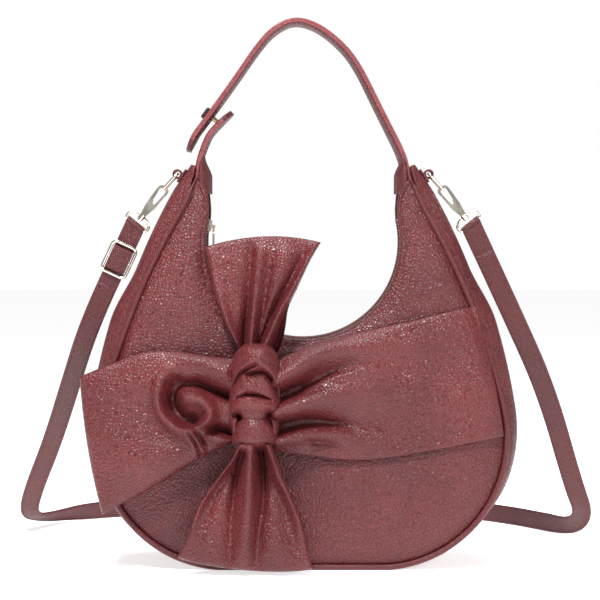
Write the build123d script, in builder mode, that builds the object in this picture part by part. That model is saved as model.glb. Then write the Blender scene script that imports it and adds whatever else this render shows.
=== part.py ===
from build123d import *
from math import atan, cos, pi, radians, sin, sqrt, tan
import os

# Hobo bag with a large bow and a clip-on shoulder strap, in millimetres.
# The bag stands on its flat base at z = 0, centred on x = 0 and y = 0, and its bow faces -Y.
# The zipped neckline is an arc about an axis along Y, so the slider turns about that axis.

# ---- body ----
leather = 2.2
panel = 2.0
piping_width = 3.6
piping_height = 4.0
base_half_width = 58.0
base_half_depth = 42.0
lean = 0.09
corner_radius = 100.0
corner_overrun = 12.0
panel_side_radius = 520.0
panel_side_turn = 20.0
gusset_corner_radius = 104.0
gusset_overrun = 9.0
gusset_side_radius = 513.7
gusset_side_turn = 19.86
shoulder_radius = 80.0
shoulder_turn = 7.14
shoulder_line = 18.0
horn_top = 290.0
neck_radius = 75.0
neck_height = 250.0
neck_overrun = 15.0
lining_inset = 5.0
lining_wall = 0.8
lining_gap = 1.0
lining_neck = 6.2
board_half_width = 55.0
board_half_depth = 38.0
board_thickness = 2.5
pocket_width = 130.0
pocket_depth = 85.0
pocket_thickness = 1.2
pocket_middle = 75.0

# ---- zip ----
facing = 1.5
facing_edge = 11.0
tape = 0.7
tape_outer = 16.0
tape_inner = 3.4
tooth_gap = 0.7
tooth_inner = 75.5
tooth_outer = 78.1
tooth_width = 1.2
tooth_count = 60
zip_overrun = 14.0
stop_turn = 1.2
slider_angle = 170.0
slider_half_width = 5.5
slider_half_turn = 3.4
slider_clearance = 0.3
plate = 2.4
post_half_turn = 1.8
post_half_width = 0.35
pin_radius = 0.6
pull_pin_radius = 71.2
pull_length = 25.0
pull_width = 6.0
pull_thickness = 1.5
eye_half_width = 1.2

# ---- handle ----
handle_width = 26.0
handle_layer = 1.9
hinge_x = 83.0
hinge_height = 305.0
bend_start = 15.5
leg_half_width = 8.0
leg_thickness = 1.6
stud_place = (-73.1, 348.7)
stud_tilt = 53.7
stud_radius = 1.8
stud_gap = 7.3
cap_size = 9.5
cap_thickness = 3.2

# ---- rings, clasps and shoulder strap ----
wire = 1.1
roll_radius = 3.8
roll_hole = 2.2
roll_half_width = 5.5
ring_length = 16.5
ring_half_width = 7.5
ring_angle = -47.5
clasp_angle = -51.0
clasp_half = 1.9
hook_radius = 4.6
hook_bore = 2.6
hook_offset = 1.35
gate_pivot = (16.0, -2.4)
fork_half = 1.1
gate_half = 0.95
neck_rod = 1.3
bar_distance = 35.0
bar_half_width = 9.8
strap_width = 16.0
strap_layer = 1.3
strap_angle = -65.0
right_tail = 24.0
left_tail = 52.0
buckle_place = 30.0
buckle_half_length = 12.5
buckle_half_width = 10.0
buckle_wire = 1.2
buckle_front = 2.9
cord_radius = sqrt(strap_width * 2 * strap_layer / pi)

# ---- bow, as heights and widths on the leaning front ----
bow_sash = 9.0
bow_tail = 12.0
bow_lift = 14.0
bottom_lift = 20.0
bow_knot_depth = 40.0
knot_left = -56.0
knot_right = -17.0
knot_bottom = 92.0
knot_top = 171.0

os.makedirs("parts", exist_ok=True)


def save(builder, label):
    builder.part.label = label
    export_step(builder.part, f"parts/{label}.step")


def polar(centre, radius, angle):
    return (centre[0] + radius * cos(radians(angle)), centre[1] + radius * sin(radians(angle)))


# ---- places worked out from the dimensions ----
lean_angle = atan(lean)
FRONT = Plane(
    origin=(0, -base_half_depth, 0),
    x_dir=(1, 0, 0),
    z_dir=(0, -cos(lean_angle), sin(lean_angle)),
)
BACK = Plane(
    origin=(0, base_half_depth, 0),
    x_dir=(-1, 0, 0),
    z_dir=(0, cos(lean_angle), sin(lean_angle)),
)
corner_centre = (base_half_width, corner_radius)
panel_side_centre = polar(corner_centre, corner_radius - panel_side_radius, corner_overrun)
gusset_corner_centre = (base_half_width, gusset_corner_radius)
gusset_side_centre = polar(
    gusset_corner_centre, gusset_corner_radius - gusset_side_radius, gusset_overrun
)
shoulder_start = gusset_overrun + gusset_side_turn
shoulder_centre = polar(
    gusset_side_centre, gusset_side_radius - shoulder_radius, shoulder_start
)
shoulder_tilt = shoulder_start + shoulder_turn
shoulder_end = polar(shoulder_centre, shoulder_radius, shoulder_tilt)
shoulder_top = polar(shoulder_end, shoulder_line, 90 + shoulder_tilt)
neck_half_top = neck_radius * cos(radians(neck_overrun))
strap_slot = hinge_x + handle_layer + 0.4


def egg(inset, top, mode=Mode.ADD):
    """Outline of a panel with its edge pulled in by inset, cut straight across at height top."""
    radius = corner_radius - inset
    side_radius = panel_side_radius - inset
    low = polar(corner_centre, radius, -90)
    end = polar(panel_side_centre, side_radius, corner_overrun + panel_side_turn)
    with BuildSketch() as shape:
        with BuildLine():
            Line((0, low[1]), low)
            CenterArc(corner_centre, radius, -90, 90 + corner_overrun)
            CenterArc(panel_side_centre, side_radius, corner_overrun, panel_side_turn)
            Line(end, (end[0], top + 20))
            Line((end[0], top + 20), (0, top + 20))
            mirror(about=Plane.YZ)
        make_face()
        with Locations((0, top)):
            Rectangle(400, 40, align=(Align.CENTER, Align.MIN), mode=Mode.SUBTRACT)
    add(shape.sketch, mode=mode)


def neck(inset, mode=Mode.SUBTRACT, top=horn_top + 60):
    """Open neck of the bag, pushed into the body by inset."""
    with Locations((0, neck_height)):
        Circle(neck_radius + inset, mode=mode)
        Rectangle(
            2 * (neck_half_top + inset),
            top - neck_height,
            align=(Align.CENTER, Align.MIN),
            mode=mode,
        )


def keep_wedge(inset):
    """Keeps what lies between the two leaning walls, pulled in by inset."""
    height = 340
    foot = base_half_depth - inset
    head = foot - lean * height
    with BuildSketch(Plane.YZ.offset(-300)) as profile:
        Polygon((-foot, 0), (foot, 0), (head, height), (-head, height), align=None)
    extrude(profile.sketch, amount=600, mode=Mode.INTERSECT)


def save_mirrored(builder, label, plane):
    """Writes the mirror image of a finished piece as a piece of its own."""
    with BuildPart() as twin:
        add(mirror(builder.part, about=plane))
    save(twin, label)


# ---- panels and piping ----
with BuildPart() as front_panel:
    with BuildSketch(FRONT):
        egg(piping_width, horn_top)
        neck(0)
    extrude(amount=panel)
save(front_panel, "front_panel")
save_mirrored(front_panel, "back_panel", Plane.XZ)

with BuildPart() as piping_front:
    with BuildSketch(FRONT):
        egg(0, horn_top)
        egg(piping_width, horn_top, mode=Mode.SUBTRACT)
    extrude(amount=piping_height)
    outer_face = piping_front.faces().sort_by(Axis(FRONT.origin, FRONT.z_dir))[-1]
    chamfer(outer_face.edges(), length=1.0)
save(piping_front, "piping_front")
save_mirrored(piping_front, "piping_back", Plane.XZ)

# ---- gusset: two strips that meet under the base, each running up to a horn ----
with BuildPart() as gusset_right:
    with BuildSketch(Plane.XZ):
        with BuildLine():
            Line((0, 0), (base_half_width, 0))
            CenterArc(gusset_corner_centre, gusset_corner_radius, -90, 90 + gusset_overrun)
            CenterArc(gusset_side_centre, gusset_side_radius, gusset_overrun, gusset_side_turn)
            CenterArc(shoulder_centre, shoulder_radius, shoulder_start, shoulder_turn)
            Polyline(
                shoulder_end,
                shoulder_top,
                (strap_slot, shoulder_top[1]),
                (strap_slot, horn_top),
                (0, horn_top),
                (0, 0),
            )
        make_face()
        egg(leather, horn_top - leather, mode=Mode.SUBTRACT)
        neck(0)
    extrude(amount=60, both=True)
    keep_wedge(0)
save(gusset_right, "gusset_right")
save_mirrored(gusset_right, "gusset_left", Plane.YZ)

# ---- lining, base board and slip pocket ----
with BuildPart() as cavity:
    with BuildSketch(Plane.XZ):
        egg(lining_inset + lining_wall, horn_top - lining_inset - lining_wall)
    extrude(amount=60, both=True)
    keep_wedge(lining_gap + lining_wall)

with BuildPart() as lining:
    with BuildSketch(Plane.XZ):
        egg(lining_inset, horn_top - lining_inset)
        neck(lining_neck)
    extrude(amount=60, both=True)
    keep_wedge(lining_gap)
    add(cavity.part, mode=Mode.SUBTRACT)
save(lining, "lining")

with BuildPart() as base_board:
    with BuildSketch(Plane.XY.offset(leather)):
        RectangleRounded(2 * board_half_width, 2 * board_half_depth, 12)
    extrude(amount=board_thickness)
save(base_board, "base_board")

with BuildPart() as slip_pocket:
    with BuildSketch(BACK.offset(-lining_gap - lining_wall)):
        with Locations((0, pocket_middle)):
            RectangleRounded(pocket_width, pocket_depth, 14)
    extrude(amount=-pocket_thickness)
save(slip_pocket, "slip_pocket")


# ---- neck facings and zip ----
def arc_band(inner, outer, start, turn):
    """Sketch of a curved band about the neck's axis."""
    centre = (0, neck_height)
    with BuildLine() as outline:
        CenterArc(centre, inner, start, turn)
        CenterArc(centre, outer, start, turn)
        Line(polar(centre, inner, start), polar(centre, outer, start))
        Line(polar(centre, inner, start + turn), polar(centre, outer, start + turn))
    make_face(outline.edges())


with BuildPart() as neck_facing_front:
    with BuildSketch(Plane.XZ.offset(facing_edge)):
        neck(facing, mode=Mode.ADD, top=horn_top - leather)
        neck(0)
    extrude(amount=40)
    keep_wedge(0)
save(neck_facing_front, "neck_facing_front")
save_mirrored(neck_facing_front, "neck_facing_back", Plane.XZ)

zip_start = 180 - zip_overrun
zip_turn = 180 + 2 * zip_overrun
tape_radius = neck_radius + facing
with BuildPart() as zip_tape_front:
    with BuildSketch(Plane.XZ.offset(tape_inner)):
        arc_band(tape_radius, tape_radius + tape, zip_start, zip_turn)
    extrude(amount=tape_outer - tape_inner)
save(zip_tape_front, "zip_tape_front")
save_mirrored(zip_tape_front, "zip_tape_back", Plane.XZ)

tooth_middle = (tooth_inner + tooth_outer) / 2
tooth_height = tooth_outer - tooth_inner
teeth_start = zip_start + 2 * stop_turn
teeth_turn = zip_turn - 4 * stop_turn
tooth_pitch = teeth_turn / tooth_count


def zip_teeth(first_angle):
    """One row of teeth on a core cord that runs along the edge of the tape."""
    with BuildPart() as row:
        with BuildSketch(Plane.XZ.offset(tape_inner - 1.4)):
            arc_band(tooth_middle - 0.7, tooth_middle + 0.7, teeth_start, teeth_turn)
        extrude(amount=1.4)
        with BuildSketch(Plane.XZ.offset(tooth_gap)):
            for tooth in range(tooth_count):
                angle = first_angle + tooth * tooth_pitch
                with Locations(polar((0, neck_height), tooth_middle, angle)):
                    Rectangle(tooth_height, tooth_width, rotation=angle)
        extrude(amount=tape_inner - tooth_gap)
    return row


save(zip_teeth(teeth_start + tooth_pitch * 0.25), "zip_teeth_front")
save_mirrored(zip_teeth(teeth_start + tooth_pitch * 0.75), "zip_teeth_back", Plane.XZ)

with BuildPart() as zip_stops:
    for start in (zip_start, zip_start + zip_turn - stop_turn):
        for side in (tooth_gap, -tape_inner):
            with BuildSketch(Plane.XZ.offset(side)):
                arc_band(tooth_inner, tooth_outer, start, stop_turn)
            extrude(amount=tape_inner - tooth_gap)
save(zip_stops, "zip_stops")

pull_pin = polar((0, neck_height), pull_pin_radius, slider_angle)
top_plate_outer = tooth_inner - slider_clearance
low_plate_inner = tooth_outer + slider_clearance
with BuildPart() as zip_slider:
    with BuildSketch(Plane.XZ):
        arc_band(
            top_plate_outer - plate,
            top_plate_outer,
            slider_angle - slider_half_turn,
            2 * slider_half_turn,
        )
        arc_band(
            low_plate_inner,
            low_plate_inner + plate / 2,
            slider_angle - slider_half_turn,
            2 * slider_half_turn,
        )
    extrude(amount=slider_half_width, both=True)
    fillet(zip_slider.edges().filter_by(Axis.Y), radius=0.5)
    with BuildSketch(Plane.XZ):
        arc_band(
            top_plate_outer - 0.2,
            low_plate_inner + 0.2,
            slider_angle - post_half_turn,
            2 * post_half_turn,
        )
    extrude(amount=post_half_width, both=True)
    for side in (1, -1):
        with BuildSketch(Plane.XZ.offset(side * (eye_half_width + 0.15))):
            with Locations(pull_pin):
                Circle(1.5)
            with Locations(polar((0, neck_height), pull_pin_radius + 1, slider_angle)):
                Rectangle(2.4, 3.0, rotation=slider_angle)
        extrude(amount=side * 1.1)
    with BuildSketch(Plane.XZ):
        with Locations(pull_pin):
            Circle(pin_radius)
    extrude(amount=eye_half_width + 1, both=True)
save(zip_slider, "zip_slider")

with BuildPart() as zip_pull:
    with BuildSketch(Plane.XZ):
        with Locations(pull_pin):
            Circle(1.25)
            Rectangle(pull_thickness, 6, align=(Align.CENTER, Align.MAX))
    extrude(amount=eye_half_width, both=True)
    with BuildSketch(Plane.YZ.offset(pull_pin[0] - pull_thickness / 2)):
        with Locations((0, pull_pin[1] - 4)):
            RectangleRounded(
                pull_width, pull_length - 4, 2, align=(Align.CENTER, Align.MAX)
            )
        with Locations((0, pull_pin[1] - pull_length + 6)):
            SlotOverall(9, 2.4, rotation=90, mode=Mode.SUBTRACT)
    extrude(amount=pull_thickness)
    with BuildSketch(Plane.XZ):
        with Locations(pull_pin):
            Circle(pin_radius + 0.07)
    extrude(amount=5, both=True, mode=Mode.SUBTRACT)
save(zip_pull, "zip_pull")

# ---- handle: two leather layers from the right horn over the top to a loose left end ----
handle_line = [
    (hinge_x, hinge_height),
    (hinge_x, hinge_height + bend_start),
    (69.5, 339.5),
    (56.9, 364.7),
    (44.4, 386.0),
    (31.7, 402.8),
    (12.2, 418.2),
    (-6.5, 424.0),
    (-21.5, 416.8),
    (-33.6, 405.0),
    (-56.0, 372.0),
    (-79.0, 340.7),
    (-86.4, 331.0),
    (-89.6, 320.5),
]
tab_line = [
    (-hinge_x, hinge_height),
    (-hinge_x, hinge_height + bend_start),
    (-70.5, 336.0),
    (-55.1, 351.1),
]


def bend_radii(points):
    """The largest smooth bend at each inner point of a line."""
    radii = []
    for before, here, after in zip(points, points[1:], points[2:]):
        first = Vector(here) - Vector(before)
        second = Vector(after) - Vector(here)
        turn = radians(first.get_angle(second))
        shorter = min(first.length, second.length)
        radii.append(0.45 * shorter / tan(turn / 2))
    return radii


def beside(points, distance):
    """Points and bend radii of a line that runs beside the given one, distance to its right."""
    runs = [(Vector(b) - Vector(a)).normalized() for a, b in zip(points, points[1:])]
    rights = [Vector(run.Y, -run.X) for run in runs]
    moved = [Vector(points[0]) + rights[0] * distance]
    radii = []
    for here, first, second, radius in zip(points[1:], rights, rights[1:], bend_radii(points)):
        moved.append(Vector(here) + (first + second) * (distance / (1 + first.dot(second))))
        turns_left = first.cross(second).Z > 0
        radii.append(radius + distance if turns_left else radius - distance)
    moved.append(Vector(points[-1]) + rights[-1] * distance)
    return moved, radii


def strap_layer_part(points, near, far):
    """A bent leather layer between two lines, with a round lower end about the folding axis."""
    first, first_radii = beside(points, near)
    second, second_radii = beside(points, far)
    run = (Vector(points[-1]) - Vector(points[-2])).normalized()
    run = Vector(run.X, 0, run.Y)
    half = handle_width / 2
    tip = Plane(
        origin=Vector(points[-1][0], 0, points[-1][1]) - run * half,
        x_dir=run,
        z_dir=run.cross(Vector(0, 1, 0)),
    )
    with BuildPart() as layer:
        with BuildSketch(Plane.XZ):
            with BuildLine():
                FilletPolyline(*first, radius=first_radii)
                FilletPolyline(*second, radius=second_radii)
                Line(first[-1], second[-1])
                Line(first[0], second[0])
            make_face()
        extrude(amount=half, both=True)
        with BuildSketch(tip):
            Rectangle(half + 2, handle_width + 2, align=(Align.MIN, Align.CENTER))
            Circle(half, mode=Mode.SUBTRACT)
        extrude(amount=3, both=True, mode=Mode.SUBTRACT)
        with BuildSketch(Plane.YZ.offset(min(first[0].X, second[0].X))):
            with Locations((0, hinge_height)):
                Circle(half)
                Rectangle(
                    handle_width + 2,
                    half + 2,
                    align=(Align.CENTER, Align.MIN),
                    mode=Mode.SUBTRACT,
                )
        extrude(amount=abs(second[0].X - first[0].X))
    return layer


layers = {}
for label, points, near, far in (
    ("handle_outer_layer", handle_line, 0, handle_layer),
    ("handle_inner_layer", handle_line, -handle_layer, 0),
    ("handle_tab_outer", tab_line, -handle_layer, 0),
    ("handle_tab_inner", tab_line, 0, handle_layer),
):
    layers[label] = strap_layer_part(points, near, far)
    save(layers[label], label)

# The stud joins the loose end of the handle to the tab, with a square cap outside.
# Its two ends are cut to the leather that they sit on.
STUD = Plane(
    origin=(stud_place[0], 0, stud_place[1]),
    x_dir=(0, 1, 0),
    z_dir=(sin(radians(stud_tilt)), 0, -cos(radians(stud_tilt))),
)
with BuildPart() as stud_post:
    with BuildSketch(STUD.offset(handle_layer)):
        Circle(stud_radius)
    extrude(amount=stud_gap)
    add(layers["handle_tab_outer"].part, mode=Mode.SUBTRACT)
save(stud_post, "stud_post")

with BuildPart() as stud_cap:
    with BuildSketch(STUD.offset(-handle_layer)):
        RectangleRounded(cap_size, cap_size, 1.5)
    extrude(amount=-cap_thickness)
    chamfer(stud_cap.faces().sort_by(Axis(STUD.origin, STUD.z_dir))[0].edges(), length=0.6)
    add(layers["handle_outer_layer"].part, mode=Mode.SUBTRACT)
save(stud_cap, "stud_cap")

leg_low, leg_knee = 280.0, horn_top + 0.4
leg_face = hinge_x - handle_layer - 0.5
with BuildPart() as handle_leg_right:
    with BuildSketch(Plane.XZ):
        with BuildLine():
            Polyline(
                (neck_half_top, leg_low),
                (neck_half_top, leg_knee),
                (leg_face, leg_knee + 8),
                (leg_face, hinge_height + 6),
                (leg_face - leg_thickness, hinge_height + 6),
                (leg_face - leg_thickness, leg_knee + 8.7),
                (neck_half_top - leg_thickness, leg_knee + 0.7),
                (neck_half_top - leg_thickness, leg_low),
                close=True,
            )
        make_face()
    extrude(amount=leg_half_width, both=True)
save(handle_leg_right, "handle_leg_right")
save_mirrored(handle_leg_right, "handle_leg_left", Plane.YZ)

# ---- ring loop on the shoulder, and the ring that it holds ----
SHOULDER = Plane(
    origin=(shoulder_end[0], 0, shoulder_end[1]),
    x_dir=(-sin(radians(shoulder_tilt)), 0, cos(radians(shoulder_tilt))),
    z_dir=(0, 1, 0),
)
roll_centre = (5.5, roll_radius + 0.4)
with BuildPart() as ring_loop_right:
    with BuildSketch(SHOULDER):
        with Locations(roll_centre):
            Circle(roll_radius)
        with Locations((0.5, 0)):
            Rectangle(12, 1.4, align=(Align.MIN, Align.MIN))
        with Locations(roll_centre):
            Circle(roll_hole, mode=Mode.SUBTRACT)
    extrude(amount=roll_half_width, both=True)
save(ring_loop_right, "ring_loop_right")
save_mirrored(ring_loop_right, "ring_loop_left", Plane.YZ)

roll_world = SHOULDER.from_local_coords(Vector(*roll_centre, 0))
ring_run = (cos(radians(ring_angle)), 0, sin(radians(ring_angle)))
RING = Plane(origin=roll_world, x_dir=ring_run, z_dir=(sin(radians(ring_angle)), 0, -ring_run[0]))
with BuildPart() as side_ring_right:
    with BuildLine(RING) as ring_path:
        FilletPolyline(
            (ring_length, -ring_half_width),
            (ring_length, ring_half_width),
            (0, ring_half_width),
            (0, -ring_half_width),
            radius=3.0,
            close=True,
        )
    with BuildSketch(Plane(origin=ring_path.line @ 0, z_dir=ring_path.line % 0)):
        Circle(wire)
    sweep()
save(side_ring_right, "side_ring_right")
save_mirrored(side_ring_right, "side_ring_left", Plane.YZ)

# ---- clasp: hook, gate, pin, spring and the swivel ring that the strap hangs on ----
clasp_run = Vector(cos(radians(clasp_angle)), 0, sin(radians(clasp_angle)))
hook_origin = roll_world + Vector(*ring_run) * ring_length
CLASP = Plane(origin=hook_origin, x_dir=clasp_run, z_dir=(0, -1, 0))


def along_clasp(distance):
    return Plane(origin=hook_origin + clasp_run * distance, z_dir=clasp_run)


with BuildPart() as clasp_body_right:
    with BuildSketch(CLASP):
        with Locations((hook_offset, 0)):
            Circle(hook_radius)
        with BuildLine():
            Polyline(
                (hook_offset, hook_radius),
                (16, 3.9),
                (21, 3.0),
                (25.2, 2.2),
                (25.2, -2.2),
                (21, -3.0),
                (16, -3.9),
                (hook_offset, -hook_radius),
                close=True,
            )
        make_face()
        with Locations((hook_offset, 0)):
            Circle(hook_bore, mode=Mode.SUBTRACT)
        with BuildLine():
            Polyline(
                (hook_offset, hook_bore), (11, 1.4), (13.8, 0), (13.8, -6), (3.2, -6),
                (3.2, -hook_bore), (hook_offset, -hook_bore), close=True,
            )
        make_face(mode=Mode.SUBTRACT)
    extrude(amount=clasp_half, both=True)
    with BuildSketch(CLASP):
        with Locations((15, -2.7)):
            Rectangle(6.4, 6.6)
    extrude(amount=fork_half, both=True, mode=Mode.SUBTRACT)
    with BuildSketch(CLASP):
        with Locations(gate_pivot):
            Circle(pin_radius)
    extrude(amount=clasp_half, both=True, mode=Mode.SUBTRACT)
    with BuildSketch(along_clasp(24)):
        Circle(neck_rod)
    extrude(amount=5.2)
    with BuildSketch(along_clasp(29.1)):
        Circle(2.1)
    extrude(amount=1.2)

with BuildPart() as clasp_gate_right:
    with BuildSketch(CLASP):
        with BuildLine():
            Polyline(
                (3.5, -4.2), (3.5, -2.7), (14.6, -1.7), (16.0, -1.2), (16.0, -3.7), (14.0, -4.0),
                close=True,
            )
        make_face()
        with Locations(gate_pivot):
            Circle(1.4)
            Circle(pin_radius + 0.05, mode=Mode.SUBTRACT)
    extrude(amount=gate_half, both=True)
    with BuildSketch(CLASP.offset(-gate_half)):
        with Locations(gate_pivot):
            Circle(1.6)
    extrude(amount=gate_half, mode=Mode.SUBTRACT)

with BuildPart() as gate_pin_right:
    with BuildSketch(CLASP):
        with Locations(gate_pivot):
            Circle(pin_radius)
    extrude(amount=clasp_half, both=True)

with BuildPart() as gate_spring_right:
    with BuildSketch(CLASP.offset(-gate_half)):
        with Locations(gate_pivot):
            Circle(1.3)
            Circle(pin_radius + 0.1, mode=Mode.SUBTRACT)
    extrude(amount=gate_half - 0.1)

with BuildPart() as swivel_ring_right:
    with BuildLine(CLASP) as swivel_path:
        FilletPolyline(
            (bar_distance, bar_half_width),
            (30.2, bar_half_width),
            (27.2, 5),
            (27.2, -5),
            (30.2, -bar_half_width),
            (bar_distance, -bar_half_width),
            radius=2.2,
            close=True,
        )
    with BuildSketch(Plane(origin=swivel_path.line @ 0, z_dir=swivel_path.line % 0)):
        Circle(wire)
    sweep()
    with BuildSketch(along_clasp(25.4)):
        Circle(2.7)
    extrude(amount=3.6)
    with BuildSketch(along_clasp(25)):
        Circle(neck_rod + 0.06)
    extrude(amount=5, mode=Mode.SUBTRACT)

for piece, label in (
    (clasp_body_right, "clasp_body"),
    (clasp_gate_right, "clasp_gate"),
    (gate_pin_right, "gate_pin"),
    (gate_spring_right, "gate_spring"),
    (swivel_ring_right, "swivel_ring"),
):
    save(piece, label + "_right")
    save_mirrored(piece, label + "_left", Plane.YZ)

# ---- leather folds that hold the strap on the swivel rings ----
bar_world = hook_origin + clasp_run * bar_distance
strap_run = Vector(cos(radians(strap_angle)), 0, sin(radians(strap_angle)))
STRAP = Plane(origin=bar_world, x_dir=strap_run, z_dir=(0, -1, 0))
ACROSS = Plane(origin=bar_world, x_dir=clasp_run, z_dir=CLASP.y_dir)


def strap_fold(tail):
    """Leather folded round the bar of the right swivel ring, with a doubled tail."""
    with BuildPart() as fold:
        with BuildSketch(ACROSS):
            Circle(wire + 0.1 + strap_layer)
        extrude(amount=strap_width / 2, both=True)
        with BuildSketch(STRAP):
            Rectangle(tail, strap_width, align=(Align.MIN, Align.CENTER))
        extrude(amount=strap_layer, both=True)
        with BuildSketch(ACROSS):
            Circle(wire + 0.1)
        extrude(amount=strap_width, both=True, mode=Mode.SUBTRACT)
    return fold


strap_fold_right = strap_fold(right_tail)
save(strap_fold_right, "strap_fold_right")
save_mirrored(strap_fold(left_tail), "strap_fold_left", Plane.YZ)

# ---- adjuster buckle on the left fold: frame, centre bar and the leather loop on the bar ----
left_bar = Vector(-bar_world.X, 0, bar_world.Z)
left_run = Vector(-strap_run.X, 0, strap_run.Z)
BUCKLE = Plane(
    origin=left_bar + left_run * buckle_place + Vector(0, -buckle_front, 0),
    x_dir=left_run,
    z_dir=(0, -1, 0),
)
with BuildPart() as adjuster_frame:
    with BuildLine(BUCKLE) as frame_path:
        FilletPolyline(
            (buckle_half_length, buckle_half_width),
            (buckle_half_length, -buckle_half_width),
            (-buckle_half_length, -buckle_half_width),
            (-buckle_half_length, buckle_half_width),
            radius=4.0,
            close=True,
        )
    with BuildSketch(Plane(origin=frame_path.line @ 0, z_dir=frame_path.line % 0)):
        Circle(buckle_wire)
    sweep()
    with BuildSketch(Plane(origin=BUCKLE.origin, z_dir=BUCKLE.y_dir)):
        Circle(0.8)
    extrude(amount=buckle_half_width + buckle_wire + 1, both=True, mode=Mode.SUBTRACT)
save(adjuster_frame, "adjuster_frame")

with BuildPart() as adjuster_bar:
    with BuildSketch(Plane(origin=BUCKLE.origin, z_dir=BUCKLE.y_dir)):
        Circle(0.8)
    extrude(amount=buckle_half_width + buckle_wire + 1, both=True)
save(adjuster_bar, "adjuster_bar")

with BuildPart() as adjuster_loop:
    with BuildSketch(Plane(origin=BUCKLE.origin, x_dir=left_run, z_dir=BUCKLE.y_dir)):
        SlotOverall(19, 2.9)
        Circle(0.8, mode=Mode.SUBTRACT)
    extrude(amount=strap_width / 2, both=True)
save(adjuster_loop, "adjuster_loop")

# ---- shoulder strap: from the left fold down to the floor, round behind the bag and up ----
strap_start = left_bar + left_run * left_tail
strap_stop = bar_world + strap_run * right_tail
strap_route = [
    strap_start,
    strap_start + left_run * 34,
    (-187, 34, 136),
    (-208, 76, 84),
    (-230, 112, 38),
    (-238, 138, 14),
    (-226, 168, 8),
    (-200, 200, 8),
    (-150, 228, 8),
    (-80, 244, 8),
    (0, 248, 8),
    (80, 240, 8),
    (138, 220, 8),
    (180, 184, 8),
    (208, 144, 8),
    (228, 108, 9),
    (234, 80, 24),
    (222, 60, 50),
    (195, 30, 132),
    strap_stop + strap_run * 46,
    strap_stop,
]


strap_radii = bend_radii(strap_route)
with BuildPart() as crossbody_strap:
    with BuildLine() as strap_path:
        FilletPolyline(*strap_route, radius=strap_radii)
    with BuildSketch(Plane(origin=strap_path.line @ 0, z_dir=strap_path.line % 0)):
        Circle(cord_radius)
    sweep()
save(crossbody_strap, "crossbody_strap")
strap_length = strap_path.wires()[0].length
print("strap radii", [round(radius) for radius in strap_radii])
print("strap length", round(strap_length), "section", round(pi * cord_radius**2, 1))
print("strap volume", round(crossbody_strap.part.volume), round(pi * cord_radius**2 * strap_length))


# ---- bow: sash, three tails and the knot that gathers them ----
def bow_piece(label, lift, depth, outline):
    with BuildPart() as piece:
        with BuildSketch(FRONT.offset(panel + lift)):
            with BuildLine():
                Polyline(*outline, close=True)
            make_face()
        extrude(amount=depth)
    save(piece, label)


bow_piece(
    "sash_right",
    0,
    bow_sash,
    [
        (knot_right, 92),
        (knot_right, 156),
        (8, 170),
        (40, 181),
        (77, 189),
        (126, 200),
        (140, 160),
        (151, 101),
        (98, 91),
        (55, 84),
        (25, 85),
    ],
)
bow_piece(
    "tail_left",
    bow_lift,
    bow_tail,
    [
        (knot_left, 161),
        (knot_left, 97),
        (-80, 86),
        (-112, 66),
        (-147, 43),
        (-158, 95),
        (-165, 147),
        (-118, 165),
    ],
)
bow_piece(
    "tail_top",
    bow_lift,
    bow_tail,
    [
        (-48, knot_top),
        (-62, 205),
        (-75, 242),
        (-30, 247),
        (13, 245),
        (-8, 210),
        (-23, knot_top),
    ],
)
bow_piece(
    "tail_bottom",
    bottom_lift,
    bow_tail,
    [
        (-50, knot_bottom),
        (-28, knot_bottom),
        (-16, 66),
        (-2, 38),
        (7, 3),
        (-28, 0.5),
        (-94, 11),
        (-78, 52),
        (-62, 74),
    ],
)

with BuildPart() as bow_knot:
    with BuildSketch(FRONT.offset(panel)):
        with Locations(((knot_left + knot_right) / 2, (knot_bottom + knot_top) / 2)):
            Rectangle(knot_right - knot_left, knot_top - knot_bottom)
    extrude(amount=bow_knot_depth)
    front_face = bow_knot.faces().sort_by(Axis(FRONT.origin, FRONT.z_dir))[-1]
    fillet(front_face.edges(), radius=9)
save(bow_knot, "bow_knot")
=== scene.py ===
from math import atan, cos, radians, sin

import bmesh
import bpy
import numpy as np
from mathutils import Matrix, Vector, noise
from mathutils.bvhtree import BVHTree


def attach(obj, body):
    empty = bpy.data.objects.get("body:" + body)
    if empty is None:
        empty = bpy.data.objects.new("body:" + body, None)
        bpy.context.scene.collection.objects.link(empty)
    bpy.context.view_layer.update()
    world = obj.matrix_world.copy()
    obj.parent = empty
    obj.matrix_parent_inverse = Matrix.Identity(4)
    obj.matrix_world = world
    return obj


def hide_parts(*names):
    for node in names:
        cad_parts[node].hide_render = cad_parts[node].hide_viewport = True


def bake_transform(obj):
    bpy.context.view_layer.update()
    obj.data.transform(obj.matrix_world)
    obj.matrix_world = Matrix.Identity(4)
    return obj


# Hobo bag with a bow. Helper functions work in millimetres, and meshes are written in metres.
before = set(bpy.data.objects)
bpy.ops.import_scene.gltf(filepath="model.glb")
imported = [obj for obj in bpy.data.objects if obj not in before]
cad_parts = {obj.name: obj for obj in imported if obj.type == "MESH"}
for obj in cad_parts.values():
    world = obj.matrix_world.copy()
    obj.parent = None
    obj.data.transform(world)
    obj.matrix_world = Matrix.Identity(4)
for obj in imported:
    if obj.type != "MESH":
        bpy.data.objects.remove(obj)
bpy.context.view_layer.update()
MM = 0.001
LEAN = 0.09
FOOT = 42.0
lean_angle = atan(LEAN)
OUT = np.array([0.0, -cos(lean_angle), sin(lean_angle)])


# ---------------------------------------------------------------- camera, light and floor
def look_from(obj, place, target):
    obj.location = place
    obj.rotation_euler = (Vector(target) - Vector(place)).to_track_quat("-Z", "Y").to_euler()


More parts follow.
